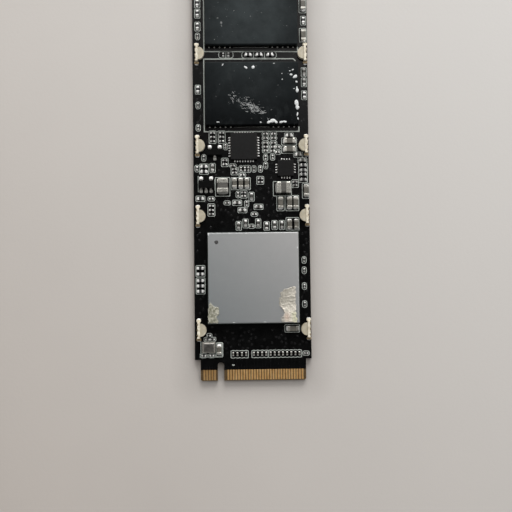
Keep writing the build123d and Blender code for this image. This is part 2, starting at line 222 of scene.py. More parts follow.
# Other moulded packages
mould = finish("chip_mould", (0.0036, 0.0036, 0.0038), (0.0075, 0.0075, 0.0078), (0.36, 0.46), size=0.5,
               bump=0.006, bump_size=0.06, specular=0.24)
regulator_mould = finish("regulator_mould", (0.0022, 0.0022, 0.0023), (0.0050, 0.0050, 0.0052),
                         (0.42, 0.52), size=0.5, bump=0.006, bump_size=0.06, specular=0.2)
outline_mould = finish("outline_mould", (0.0008, 0.0008, 0.0008), (0.0020, 0.0020, 0.0020), (0.5, 0.6),
                       size=0.5, bump=0.006, bump_size=0.06, specular=0.08)

# Metals: the solder along the right edge and the tin at the lower right are oxidised
solder = finish("solder_joint", (0.86, 0.87, 0.86), (0.97, 0.97, 0.96), (0.2, 0.34), metallic=0.35,
                size=0.2, bump=0.006, bump_size=0.08)
tree = solder.node_tree
oxide = times(tree, remap(tree, part_of(tree, "X"), 8.3, 8.8, 0.0, 0.7),
              remap(tree, part_of(tree, "Y"), 4.0, 6.0, 1.0, 0.0))
recolour(solder, oxide, (0.26, 0.26, 0.25))
tinned = finish("tinned_metal", (0.50, 0.49, 0.46), (0.74, 0.73, 0.69), (0.16, 0.3), metallic=1.0,
                size=0.25, bump=0.008, bump_size=0.07)
dull_solder = finish("dull_solder", (0.30, 0.30, 0.285), (0.60, 0.60, 0.57), (0.3, 0.42), metallic=0.45,
                     size=0.25, bump=0.006, bump_size=0.08)
worn_tin = finish("worn_tin", (0.20, 0.20, 0.19), (0.42, 0.42, 0.40), (0.3, 0.42), metallic=0.45, size=0.25,
                  bump=0.006, bump_size=0.08)
coated = finish("solder_coated_ends", (0.55, 0.55, 0.53), (0.92, 0.92, 0.90), (0.24, 0.38), metallic=0.4,
                size=0.25, bump=0.006, bump_size=0.08)
tree = coated.node_tree
recolour(coated, remap(tree, grain(tree, 1.6, 2.0), 0.45, 0.56, 0.0, 0.75), (0.16, 0.16, 0.15))
satin = finish("satin_tin", (0.40, 0.39, 0.35), (0.72, 0.71, 0.66), (0.24, 0.38), metallic=0.75, size=0.3,
               bump=0.008, bump_size=0.08)
tree = satin.node_tree
oxide = times(tree, remap(tree, part_of(tree, "X"), 6.6, 7.2, 0.0, 0.7),
              remap(tree, part_of(tree, "Y"), -8.0, -7.0, 1.0, 0.0))
recolour(satin, oxide, (0.20, 0.195, 0.17))
wrapped = finish("wrapped_terminal", (0.36, 0.355, 0.32), (0.64, 0.635, 0.59), (0.24, 0.36), metallic=0.75,
                 size=0.4, bump=0.01, bump_size=0.15)
crystal_metal = finish("crystal_metal", (0.15, 0.145, 0.135), (0.30, 0.29, 0.27), (0.30, 0.45),
                       metallic=0.9, size=0.6, bump=0.004, bump_size=0.1)

# Ceramics, films and LED parts
core = finish("inductor_core", (0.056, 0.054, 0.049), (0.095, 0.092, 0.083), (0.5, 0.68), size=0.35,
              bump=0.02, bump_size=0.08)
crystal_ceramic = finish("crystal_seam", (0.20, 0.19, 0.17), (0.42, 0.41, 0.37), (0.35, 0.5), metallic=0.3,
                         size=0.3, bump_size=0.06)
ceramic = finish("capacitor_ceramic", (0.070, 0.067, 0.055), (0.125, 0.118, 0.100), (0.4, 0.55), size=0.5,
                 bump=0.008, bump_size=0.07)
dark_ceramic = finish("small_capacitor_ceramic", (0.026, 0.026, 0.023), (0.055, 0.053, 0.046), (0.4, 0.55),
                      size=0.4, bump=0.006, bump_size=0.07)
resistor = finish("resistor_film", (0.012, 0.012, 0.013), (0.03, 0.03, 0.032), (0.35, 0.5), size=0.3,
                  bump=0.006, bump_size=0.07)
carrier = finish("led_carrier", (0.46, 0.40, 0.29), (0.88, 0.84, 0.72), (0.4, 0.55), size=0.6, bump=0.012,
                 bump_size=0.12)
lens = finish("led_lens", (0.40, 0.36, 0.275), (0.54, 0.50, 0.40), (0.28, 0.42), size=0.7, bump=0.008,
              bump_size=0.2, coat=0.25)
shader = lens.node_tree.nodes["Principled BSDF"]
shader.inputs["Subsurface Weight"].default_value = 0.25
shader.inputs["Subsurface Radius"].default_value = (0.0006, 0.0005, 0.0003)
old_gold = finish("led_pad_gold", (0.16, 0.11, 0.06), (0.46, 0.36, 0.22), (0.35, 0.5), metallic=0.6,
                  size=0.2, bump_size=0.08)

# Leftovers of the heat spreader
residue = finish("adhesive_residue", (0.50, 0.53, 0.54), (0.80, 0.82, 0.82), (0.5, 0.7), size=0.2,
                 bump=0.03, bump_size=0.1)
haze = finish("thin_residue", (0.10, 0.105, 0.108), (0.52, 0.54, 0.54), (0.5, 0.7), size=0.5, bump=0.01,
              bump_size=0.08)
dusty = finish("residue_dust", (0.03, 0.034, 0.036), (0.16, 0.17, 0.17), (0.5, 0.7), size=0.8, bump=0.01,
               bump_size=0.08)

# Foil: the right scrap is thin at its upper end, tinted at its lower end and worn off beside that
foil = finish("torn_foil", (0.60, 0.565, 0.485), (0.90, 0.85, 0.755), (0.3, 0.45), metallic=0.2, size=0.7,
              bump=0.02, bump_size=0.3)
tree = foil.node_tree
foil_x, foil_y = part_of(tree, "X"), part_of(tree, "Y")
mottle = remap(tree, remap(tree, grain(tree, 0.7, 4.0, 0.6), 0.35, 0.65), 0.0, 1.0, 0.75, 1.0)
thin = times(tree, remap(tree, foil_y, -26.3, -25.5, 0.0, 1.0), remap(tree, foil_x, 5.4, 7.6, 0.95, 0.55))
recolour(foil, times(tree, thin, mottle), (0.34, 0.325, 0.28))
blush = times(tree, near(tree, foil_x, 6.3, 0.9), near(tree, foil_y, -28.0, 1.1))
recolour(foil, times(tree, blush, 0.75), (0.58, 0.44, 0.36))
olive = times(tree, remap(tree, foil_x, 7.0, 7.6, 0.0, 0.75), remap(tree, foil_y, -27.4, -26.8, 1.0, 0.0))
recolour(foil, olive, (0.60, 0.60, 0.42))
worn_off = times(tree, remap(tree, foil_x, 5.6, 6.1, 0.8, 0.0), remap(tree, foil_y, -27.4, -27.0, 1.0, 0.0))
recolour(foil, worn_off, (0.33, 0.325, 0.30))
# The left scrap is darker and grimy
left_scrap = remap(tree, foil_x, 0.0, 1.0, 1.0, 0.0)
recolour(foil, times(tree, left_scrap, 0.9), (0.45, 0.445, 0.37))
grime = remap(tree, grain(tree, 0.45, 5.0, 0.65), 0.42, 0.62, 0.0, 0.85)
recolour(foil, times(tree, grime, left_scrap), (0.17, 0.17, 0.12))

# Index dot on the controller's lid
ink_dot = finish("index_ink", (0.03, 0.03, 0.03), (0.06, 0.06, 0.06), (0.6, 0.7), size=0.1, bump_size=0.05)

finishes = {
    "circuit_board": mask,
    "edge_contacts_top": gold,
    "edge_contacts_bottom": gold,
    "screw_ring": gold,
    "controller_substrate": substrate,
    "controller_lid": lid,
    "controller_solder_balls": solder,
    "flash_packages": flash,
    "flash_solder_balls": solder,
    "power_manager_body": mould,
    "power_manager_lead_frame": tinned,
    "regulator_body": regulator_mould,
    "regulator_lead_frame": tinned,
    "five_lead_regulator_body": outline_mould,
    "five_lead_regulator_leads": tinned,
    "transistor_body": outline_mould,
    "transistor_leads": tinned,
    "inductor_cores": core,
    "inductor_terminals": wrapped,
    "crystal_pads": tinned,
    "crystal_base": crystal_ceramic,
    "crystal_lid": crystal_metal,
    "led_carriers": carrier,
    "led_lenses": lens,
    "led_terminals": carrier,
}
chip_finishes = {
    "small_resistor": (resistor, coated),
    "medium_resistor": (resistor, solder),
    "small_capacitor": (dark_ceramic, coated),
    "medium_capacitor": (dark_ceramic, coated),
    "large_capacitor": (ceramic, satin),
    "bulk_capacitor": (ceramic, satin),
    "coupling_capacitor": (ceramic, worn_tin),
}
for kind, (body, ends) in chip_finishes.items():
    finishes[f"{kind}_bodies"] = body
    finishes[f"{kind}_end_caps"] = ends

# Rounding of the solids' edges; nodes that are neither here nor chips keep sharp edges
rounding = {
    "circuit_board": 0.03,
    "controller_lid": 0.08,
    "controller_substrate": 0.02,
    "flash_packages": 0.14,
    "power_manager_body": 0.05,
    "regulator_body": 0.05,
    "five_lead_regulator_body": 0.05,
    "transistor_body": 0.05,
    "inductor_cores": 0.08,
    "inductor_terminals": 0.09,
    "crystal_base": 0.05,
    "crystal_lid": 0.04,
    "led_carriers": 0.05,
    "led_lenses": 0.14,
    "led_terminals": 0.08,
}
BIG_KINDS = ("large_capacitor", "bulk_capacitor")
BIG_CHIP_ROUNDING, CHIP_ROUNDING = 0.07, 0.045
# Points of one solid that are this close, in metres, are one point
WELD_GAP = 1e-7
for name, obj in nodes.items():
    obj.data.materials.clear()
    obj.data.materials.append(finishes[name])
    width = rounding.get(name)
    if width is None and name.endswith(("_bodies", "_end_caps")):
        width = BIG_CHIP_ROUNDING if name.startswith(BIG_KINDS) else CHIP_ROUNDING
    if width is None:
        continue
    obj.modifiers.new("weld", "WELD").merge_threshold = WELD_GAP
    bevel = obj.modifiers.new("rounding", "BEVEL")
    bevel.width = width * MM
    bevel.segments = 2
    bevel.limit_method = "ANGLE"
    bevel.angle_limit = math.radians(35)

# The LEDs' lower terminals carry less solder and look darker
LED_ROWS = (-30.4, -8.9, 4.5, 22.2)
terminals = nodes["led_terminals"].data
terminals.materials.append(old_gold)
for polygon in terminals.polygons:
    y = polygon.center.y / MM
    nearest = min(LED_ROWS, key=lambda row: abs(row - y))
    polygon.material_index = 1 if y < nearest else 0

# What stands where on the card. A box is a pair of its lowest and highest corners.


def islands(name):
    """The box of each solid of a CAD node."""
    mesh = nodes[name].data
    same_place = 1e-6
    keys = {}
    merged = []
    for vertex in mesh.vertices:
        # The shift keeps round coordinates off the borders between two keys
        key = tuple(math.floor(c / same_place + 0.75) for c in vertex.co)
        merged.append(keys.setdefault(key, len(keys)))
    parent = list(range(len(keys)))

    def root(i):
        while parent[i] != i:
            parent[i] = parent[parent[i]]
            i = parent[i]
        return i

    for polygon in mesh.polygons:
        first = root(merged[polygon.vertices[0]])
        for index in polygon.vertices[1:]:
            parent[root(merged[index])] = first
    boxes = {}
    for vertex, index in zip(mesh.vertices, merged):
        co = vertex.co / MM
        low, high = boxes.setdefault(root(index), (co.copy(), co.copy()))
        for axis in range(3):
            low[axis] = min(low[axis], co[axis])
            high[axis] = max(high[axis], co[axis])
    return list(boxes.values())


def middle(box):
    return (box[0] + box[1]) / 2


def join(boxes):
    """The box round several boxes."""
    low = Vector([min(box[0][axis] for box in boxes) for axis in range(3)])
    high = Vector([max(box[1][axis] for box in boxes) for axis in range(3)])
    return low, high


def touches(first, second, slack=0.012):
    return all(first[0][a] - slack <= second[1][a] and second[0][a] - slack <= first[1][a] for a in range(3))


def ended(kind, body_boxes, end_boxes):
    """Each body with its metal ends."""
    found = []
    for body in body_boxes:
        ends = [box for box in end_boxes if touches(box, body)]
        found.append({"kind": kind, "box": join(ends + [body]), "body": body, "ends": ends})
    return found


chips = []
for kind in chip_finishes:
    chips += ended(kind, islands(f"{kind}_bodies"), islands(f"{kind}_end_caps"))
inductors = ended("inductor", islands("inductor_cores"), islands("inductor_terminals"))
led_parts = islands("led_lenses") + islands("led_terminals")
leds = []
for bar in islands("led_carriers"):
    parts = [box for box in led_parts if touches(bar, box)]
    # The terminals stand more than a millimetre from the bar's middle, the lens at it
    ends = [box for box in parts if abs(middle(box).y - middle(bar).y) > 1]
    leds.append({"bar": bar, "box": join(parts + [bar]), "ends": ends})
packages = [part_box(name) for name in ("power_manager_lead_frame", "regulator_lead_frame",
                                      "five_lead_regulator_leads", "transistor_leads", "crystal_base",
                                      "controller_substrate", "five_lead_regulator_body", "transistor_body")]
packages = [(low / MM, high / MM) for low, high in packages]
packages += islands("flash_packages")
standing = packages + [thing["box"] for thing in chips + leds + inductors]


def room(box, axis, sign):
    """Free distance beside a box, along X (0) or Y (1), to the next part or the card's edge."""
    across = 1 - axis
    # A box is in the way if it overlaps by the first length; it may reach in by the second
    side_overlap, end_overlap = 0.03, 0.02
    edge = cad_box[1][axis] / MM if sign > 0 else -cad_box[0][axis] / MM
    best = edge - (box[1][axis] if sign > 0 else -box[0][axis])
    for other in standing:
        if other[1][across] < box[0][across] + side_overlap:
            continue
        if other[0][across] > box[1][across] - side_overlap:
            continue
        gap = other[0][axis] - box[1][axis] if sign > 0 else box[0][axis] - other[1][axis]
        if gap > -end_overlap:
            best = min(best, gap)
    return max(best, 0.0)


# Shapes


def piece(name, bm, material, smooth=False):
    """A finished mesh as a piece of the card."""
    bmesh.ops.recalc_face_normals(bm, faces=bm.faces)
    mesh = bpy.data.meshes.new(name)
    bm.to_mesh(mesh)
    bm.free()
    mesh.transform(Matrix.Scale(MM, 4))
    mesh.materials.append(material)
    for polygon in mesh.polygons:
        polygon.use_smooth = smooth
    obj = bpy.data.objects.new(name, mesh)
    bpy.context.scene.collection.objects.link(obj)
    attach(obj, "root")
    return obj


def bridge(bm, rings, capped=True):
    """Faces between rings of points, with the first and last ring filled."""
    for first, second in zip(rings, rings[1:]):
        for a in range(len(first)):
            b = (a + 1) % len(first)
            bm.faces.new((first[a], first[b], second[b], second[a]))
    if capped:
        bm.faces.new(rings[0])
        bm.faces.new(rings[-1])


def ribbon(bm, points, width, height, closed=False):
    """A flat printed line on the board along some points."""
    low, high = TOP - SUNK, TOP + height
    sharpest = 0.6
    points = [Vector(point) for point in points]
    count = len(points)
    rings = []
    for index, point in enumerate(points):
        ways = []
        if closed or index > 0:
            ways.append((point - points[index - 1]).normalized())
        if closed or index < count - 1:
            ways.append((points[(index + 1) % count] - point).normalized())
        tangent = sum(ways, Vector((0, 0))).normalized()
        normal = Vector((-tangent.y, tangent.x))
        reach = width / 2 / max(sharpest, normal.dot(Vector((-ways[0].y, ways[0].x))))
        left = point + normal * reach
        right = point - normal * reach
        rings.append([bm.verts.new((left.x, left.y, low)), bm.verts.new((left.x, left.y, high)),
                      bm.verts.new((right.x, right.y, high)), bm.verts.new((right.x, right.y, low))])
    bridge(bm, rings + rings[:1] if closed else rings, capped=not closed)


def rounded(x0, y0, x1, y1, radius, steps=4):
    """The outline of a rectangle with round corners."""
    radius = min(radius, (x1 - x0) / 2 - 0.01, (y1 - y0) / 2 - 0.01)
    points = []
    for cx, cy, start in ((x1 - radius, y1 - radius, 0), (x0 + radius, y1 - radius, 90),
                          (x0 + radius, y0 + radius, 180), (x1 - radius, y0 + radius, 270)):
        for step in range(steps + 1):
            angle = math.radians(start + 90 * step / steps)
            points.append((cx + radius * math.cos(angle), cy + radius * math.sin(angle)))
    return points


# A fillet's profile: share of its reach and share of its height, from the metal end to the pad's edge
SLOPE = ((-0.05, 1.0), (0.16, 0.78), (0.38, 0.52), (0.68, 0.25), (1.0, 0.04))
# Where a fillet has points across its width, as shares of half of it
ACROSS = (-1.0, -0.82, -0.45, 0.0, 0.45, 0.82, 1.0)


def mound(bm, start, way, half_width, reach, height):
    """A concave solder fillet from a metal end down to its pad on the board."""
    way = Vector(way)
    side_way = Vector((-way.y, way.x))
    pad_height = 0.015
    top, foot = [], []
    for outward, rise in SLOPE:
        line_top, line_foot = [], []
        for sideways in ACROSS:
            spread = half_width * (1.0 - 0.45 * max(outward, 0.0) ** 2)
            point = Vector(start) + way * (reach * outward) + side_way * (spread * sideways)
            drop = 1.0 - 0.75 * abs(sideways) ** 5
            line_top.append(bm.verts.new((point.x, point.y, TOP + pad_height + height * rise * drop)))
            line_foot.append(bm.verts.new((point.x, point.y, TOP - SUNK)))
        top.append(line_top)
        foot.append(line_foot)
    rows, columns = len(SLOPE), len(ACROSS)
    for grid in (top, foot):
        for row in range(rows - 1):
            for column in range(columns - 1):
                bm.faces.new((grid[row][column], grid[row][column + 1], grid[row + 1][column + 1],
                              grid[row + 1][column]))
    rim = [(0, c) for c in range(columns)] + [(r, columns - 1) for r in range(1, rows)]
    rim += [(rows - 1, c) for c in range(columns - 2, -1, -1)] + [(r, 0) for r in range(rows - 2, 0, -1)]
    for (r0, c0), (r1, c1) in zip(rim, rim[1:] + rim[:1]):
        bm.faces.new((top[r0][c0], top[r1][c1], foot[r1][c1], foot[r0][c0]))


def blob(bm, x, y, rx, ry, turn, height, low, seed, rings=4, sides=14):
    """A thin crumb with a ragged outline and an uneven top."""
    draw = random.Random(seed)
    wobble = [0.72 + 0.5 * draw.random() for _ in range(sides)]
    wobble = [(wobble[i - 1] + 2 * wobble[i] + wobble[(i + 1) % sides]) / 4 for i in range(sides)]
    cos, sin = math.cos(turn), math.sin(turn)
    rim_depth = 0.006

    def at(fraction, index):
        angle = 2 * math.pi * index / sides
        px = rx * fraction * wobble[index] * math.cos(angle)
        py = ry * fraction * wobble[index] * math.sin(angle)
        return x + px * cos - py * sin, y + px * sin + py * cos

    crown = bm.verts.new((x, y, low + height * (0.8 + 0.3 * draw.random())))
    layers = []
    for ring in range(1, rings + 1):
        fraction = ring / rings
        level = height * (1 - fraction ** 2.2)
        depth = rim_depth if ring == rings else 0.0
        layer = []
        for i in range(sides):
            rise = max(0.0, level * (0.6 + 0.6 * draw.random()))
            layer.append(bm.verts.new((*at(fraction, i), low + rise - depth)))
        layers.append(layer)
    for i in range(sides):
        j = (i + 1) % sides
        bm.faces.new((crown, layers[0][i], layers[0][j]))
        for inner, outer in zip(layers, layers[1:]):
            bm.faces.new((inner[i], outer[i], outer[j], inner[j]))
    bm.faces.new(layers[-1])


def pad(bm, x, y, half_x, half_y, height, sides=20):
    """A cushion of solder over a square pad and the foot that stands on it."""
    layers = []
    for share, rise in ((1.0, -SUNK), (1.0, 0.10 * height), (0.86, 0.74 * height), (0.6, 0.97 * height),
                        (0.25, height)):
        ring = []
        for index in range(sides):
            angle = 2 * math.pi * index / sides
            cos, sin = math.cos(angle), math.sin(angle)
            square = (abs(cos) ** 4 + abs(sin) ** 4) ** -0.25
            ring.append(bm.verts.new((x + half_x * share * square * cos, y + half_y * share * square * sin,
                                      TOP + rise)))
        layers.append(ring)
    bridge(bm, layers)


# Solder joints


def outer_face(end, offset, axis):
    """The sign of the way an end faces along an axis, the middle of that face and that way."""
    sign = 1 if offset[axis] > 0 else -1
    start = middle(end).xy
    start[axis] = end[1][axis] if sign > 0 else end[0][axis]
    way = Vector((0, 0))
    way[axis] = sign
    return sign, start, way


bright_joints, dull_joints = bmesh.new(), bmesh.new()
# Reach and height of the fillets on each size of chip and on the inductors
fillets = {"small": (0.17, 0.20), "medium": (0.24, 0.32), "large": (0.26, 0.50), "bulk": (0.26, 0.50),
           "coupling": (0.10, 0.10), "inductor": (0.30, 0.55)}
# A chip's fillets are wider than its ends by the first length, and left out if shorter than the second
CHIP_OVERLAP, SHORTEST_FILLET = 0.02, 0.05
# A fillet takes up less than half of the gap to the next part
SHARE_OF_ROOM = 0.44
for chip in chips + inductors:
    kind = chip["kind"]
    wanted, height = fillets[kind.split("_")[0]]
    overlap, shortest = (0.0, 0.0) if kind == "inductor" else (CHIP_OVERLAP, SHORTEST_FILLET)
    joints = dull_joints if kind in ("inductor", "coupling_capacitor") else bright_joints
    for end in chip["ends"]:
        offset = middle(end) - middle(chip["body"])
        axis = 0 if abs(offset.x) > abs(offset.y) else 1
        sign, start, way = outer_face(end, offset, axis)
        reach = min(wanted, SHARE_OF_ROOM * room(chip["box"], axis, sign))
        if reach >= shortest:
            half = (end[1][1 - axis] - end[0][1 - axis]) / 2
            mound(joints, start, way, half + overlap, reach, height)
LED_HALF, LED_REACH, LED_HEIGHT = 0.36, 0.16, 0.22
for led in leds:
    for end in led["ends"]:
        _, start, way = outer_face(end, middle(end) - middle(led["bar"]), 1)
        mound(bright_joints, start, way, LED_HALF, LED_REACH, LED_HEIGHT)
LEAD_HEIGHT = 0.2
for name, reach, half in (("power_manager_lead_frame", 0.24, 0.13), ("regulator_lead_frame", 0.25, 0.115)):
    # The largest solid of a lead frame is the thermal pad, which hides its solder
    leads = sorted(islands(name), key=lambda box: (box[1] - box[0]).xy.length)[:-1]
    centre = middle(join(leads))
    for lead in leads:
        span = lead[1] - lead[0]
        _, start, way = outer_face(lead, middle(lead) - centre, 0 if span.x > span.y else 1)
        mound(bright_joints, start, way, half, reach, LEAD_HEIGHT)
# Bent leads stand on pads; the lower row's are duller and smaller
FOOT_INSET = 0.3
for name in ("five_lead_regulator_leads", "transistor_leads"):
    low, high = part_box(name.replace("_leads", "_body"))
    for lead in islands(name):
        sign, start, _ = outer_face(lead, middle(lead) - (low + high) / 2 / MM, 1)
        start.y -= sign * FOOT_INSET
        if sign > 0:
            pad(bright_joints, start.x, start.y + 0.1, 0.38, 0.36, 0.24)
        else:
            pad(dull_joints, start.x, start.y - 0.12, 0.30, 0.36, 0.22)
piece("solder_fillets", bright_joints, solder, smooth=True)
piece("dull_solder_fillets", dull_joints, dull_solder, smooth=True)

# Three plated half-round pads on the outer side of each LED
side_pads = bmesh.new()
SIDE_PAD_INSET, SIDE_PAD_HALF, SIDE_PAD_REACH, SIDE_PAD_HEIGHT = 0.13, 0.18, 0.32, 0.6
for led in leds:
    low, high = led["bar"]
    sign = -1 if middle(led["bar"]).x < 0 else 1
    edge = low.x if sign < 0 else high.x
    for index in (-1, 0, 1):
        y = middle(led["bar"]).y + index * (high.y - low.y) / 3
        mound(side_pads, (edge - sign * SIDE_PAD_INSET, y), (sign, 0), SIDE_PAD_HALF, SIDE_PAD_REACH,
              SIDE_PAD_HEIGHT)
piece("led_side_pads", side_pads, old_gold, smooth=True)

# Silkscreen
lines = bmesh.new()
INK_HEIGHT, INK_WIDTH, FLASH_FRAME_WIDTH = 0.018, 0.122, 0.21


def printed(points, closed=False, width=INK_WIDTH):
    ribbon(lines, points, width, INK_HEIGHT, closed)


def long_axis(box):
    return 0 if box[1].x - box[0].x > box[1].y - box[0].y else 1


# Chips in line to within the first length and nearer than the second share a frame
IN_LINE, STACK_GAP = 0.06, 0.6


def share_frame(first, second):
    """Whether two chips of one kind, stacked side by side, are printed round as one."""
    if first["kind"] != second["kind"]:
        return False
    if "resistor" not in first["kind"] and first["kind"] not in BIG_KINDS:
        return False
    a, b = first["box"], second["box"]
    axis = long_axis(a)
    if axis != long_axis(b) or abs(middle(a)[axis] - middle(b)[axis]) > IN_LINE:
        return False
    return max(a[0][1 - axis], b[0][1 - axis]) - min(a[1][1 - axis], b[1][1 - axis]) < STACK_GAP


framed = [chip for chip in chips if chip["kind"] != "coupling_capacitor"]
groups = []
for chip in framed:
    linked = [group for group in groups if any(share_frame(chip, other) for other in group)]
    groups = [group for group in groups if group not in linked]
    groups.append([chip] + [other for group in linked for other in group])

# The two rows in the gap between the flash packages have long frames with dividing lines
lower_flash, upper_flash = sorted(islands("flash_packages"), key=lambda box: box[0].y)
in_gap = [chip for chip in framed
          if lower_flash[1].y < chip["box"][0].y and chip["box"][1].y < upper_flash[0].y]
groups = [group for group in groups if group[0] not in in_gap]
GAP_FRAME_END, GAP_FRAME_SIDE, GAP_FRAME_CORNER, GAP_LINE_SIDE = 0.72, 0.62, 0.5, 0.56
for kind in ("small_resistor", "medium_resistor"):
    row = sorted((chip["box"] for chip in in_gap if chip["kind"] == kind), key=lambda box: box[0].x)
    low, high = join(row)
    row_y = (low.y + high.y) / 2
    printed(rounded(low.x - GAP_FRAME_END, row_y - GAP_FRAME_SIDE, high.x + GAP_FRAME_END,
                    row_y + GAP_FRAME_SIDE, GAP_FRAME_CORNER), closed=True)
    for first, second in zip(row, row[1:]):
        between = (first[1].x + second[0].x) / 2
        printed([(between, row_y - GAP_LINE_SIDE), (between, row_y + GAP_LINE_SIDE)])

# Frames round the other chips keep this far off them, where there is room
SIDE_MARGIN, END_MARGIN, BIG_END_MARGIN, LEAST_MARGIN = 0.24, 0.36, 0.5, 0.08
OVAL_CORNER, FRAME_CORNER, OVAL_ROOM = 0.38, 0.17, 0.4
for group in groups:
    low, high = join([chip["box"] for chip in group])
    kind = group[0]["kind"]
    axis = long_axis(group[0]["box"])
    margins = {}
    for way in (0, 1):
        end_margin = BIG_END_MARGIN if kind in BIG_KINDS else END_MARGIN
        wanted = end_margin if way == axis else SIDE_MARGIN
        for sign in (-1, 1):
            margins[way, sign] = max(LEAST_MARGIN, min(wanted, room((low, high), way, sign) / 2))
    oval = len(group) == 1 and "small" in kind and margins[1 - axis, -1] + margins[1 - axis, 1] > OVAL_ROOM
    printed(rounded(low.x - margins[0, -1], low.y - margins[1, -1], high.x + margins[0, 1],
                    high.y + margins[1, 1], OVAL_CORNER if oval else FRAME_CORNER), closed=True)

# Frames round the two inductors
printed(rounded(-6.84, -5.1, -4.1, -1.55, 0.08, 2), closed=True)
printed(rounded(4.15, -5.15, 7.6, -2.4, 0.08, 2), closed=True)
# Frames round the flash packages
printed([(9.2, 8.15), (9.2, 7.2), (-8.85, 7.25), (-8.85, 21.25), (8.3, 21.25), (8.75, 20.8)],
        width=FLASH_FRAME_WIDTH)
printed([(9.15, 23.55), (9.15, 22.62), (-8.8, 22.7), (-8.8, 36.2), (9.15, 36.2), (9.15, 34.9)],
        width=FLASH_FRAME_WIDTH)
# Scalloped outlines round the coupling capacitors
coupling = sorted((chip["box"] for chip in chips if chip["kind"] == "coupling_capacitor"),
                  key=lambda box: box[0].x)
SCALLOP, LOWER_MARGIN, UPPER_MARGIN = 0.1, 0.35, 0.29
for group in (coupling[:4], coupling[4:8], coupling[8:]):
    centres = [middle(box).x for box in group]
    pitch = centres[1] - centres[0]
    low_y, high_y = group[0][0].y - LOWER_MARGIN, group[0][1].y + UPPER_MARGIN
    upper, lower = [], []
    for x in centres:
        for part in (-0.5, -0.3, 0.0, 0.3):
            lift = SCALLOP * math.cos(part * math.pi)
            upper.append((x + part * pitch, high_y + lift))
            lower.append((x + part * pitch, low_y - lift))
    upper.append((centres[-1] + 0.5 * pitch, high_y))
    lower.append((centres[-1] + 0.5 * pitch, low_y))
    printed(upper + lower[::-1], closed=True)
# Lines beside the five-lead regulator, the crystal's frame and a mark at the edge connector
printed([(-10.1, -1.2), (-10.1, -4.3)])
printed([(-6.95, -1.9), (-6.95, -4.0)])
printed([(-10.0, -34.85), (-10.0, -35.5), (-5.9, -35.5), (-5.9, -32.9), (-6.9, -32.9)])
printed([(-9.85, -32.5), (-9.85, -34.75)])
printed([(-4.0, -36.95), (-3.8, -37.08), (-3.55, -37.0)], width=0.2)
piece("silkscreen_lines", lines, silk)

# Copper under the mask: vias and short traces
copper = bmesh.new()
COPPER_HEIGHT = 0.012
# A via's rings: radius and height over the board's face
VIA_RINGS = ((0.23, -SUNK), (0.2, COPPER_HEIGHT), (0.13, 0.016), (0.07, 0.004))
VIA_COUNT, VIA_TRIES, VIA_CLEARANCE, VIA_SPACING = 190, 9000, 0.42, 0.55


def via(bm, x, y, level, sides=10):
    rings = []
    for radius, lift in VIA_RINGS:
        angles = [a * math.pi / (sides / 2) for a in range(sides)]
        rings.append([bm.verts.new((x + radius * math.cos(angle), y + radius * math.sin(angle), level + lift))
                      for angle in angles])
    bridge(bm, rings)


def on_a_part(x, y):
    return any(low.x - VIA_CLEARANCE < x < high.x + VIA_CLEARANCE and
               low.y - VIA_CLEARANCE < y < high.y + VIA_CLEARANCE for low, high in standing)


chance = random.Random(22)
holes = []
tries = 0
while len(holes) < VIA_COUNT and tries < VIA_TRIES:
    tries += 1
    x, y = chance.uniform(-10.4, 10.4), chance.uniform(-35.4, 36.5)
    if on_a_part(x, y) or any((x - hx) ** 2 + (y - hy) ** 2 < VIA_SPACING ** 2 for hx, hy in holes):
        continue
    holes.append((x, y))
for x, y in holes:
    via(copper, x, y, TOP)
    via(copper, x, y, 0.0)

# Each coupling capacitor is wired to its nearest free contact, and the other contacts have short stubs
contacts = [middle(box).x for box in islands("edge_contacts_top")]
wired = {}
for target in (middle(box).x for box in coupling):
    free = [x for x in contacts if x not in wired]
    wired[min(free, key=lambda x: abs(x - target))] = target
TRACE_START, TRACE_BEND, TRACE_STRAIGHT, TRACE_END, STUB_END = -37.85, -36.9, -36.35, -35.75, -37.3
TRACE_WIDTH, STUB_WIDTH = 0.14, 0.2
for x in contacts:
    if x in wired:
        route = [(x, TRACE_START), (x, TRACE_BEND), (wired[x], TRACE_STRAIGHT), (wired[x], TRACE_END)]
        ribbon(copper, route, TRACE_WIDTH, COPPER_HEIGHT)
    else:
        ribbon(copper, [(x, TRACE_START), (x, STUB_END)], STUB_WIDTH, COPPER_HEIGHT)
piece("masked_copper", copper, copper_relief)

# Two groups of five spare pads and a fine line below each flash package
spare = bmesh.new()
SPARE_RADIUS, SPARE_HEIGHT, SPARE_SEED = 0.18, 0.06, 7
for low, high in islands("flash_packages"):
    y = low.y - 0.2
    for index in range(5):
        for x in (-7.8 + index, 4.3 + index):
            blob(spare, x, y, SPARE_RADIUS, SPARE_RADIUS, 0.0, SPARE_HEIGHT, TOP, SPARE_SEED, rings=3,
                 sides=10)
    ribbon(spare, [(-3.2, y), (3.6, y)], 0.04, COPPER_HEIGHT)
piece("spare_pads", spare, dull_solder, smooth=True)

# Leftovers of the heat spreader on the flash packages
FLASH = islands("flash_packages")[0][1].z
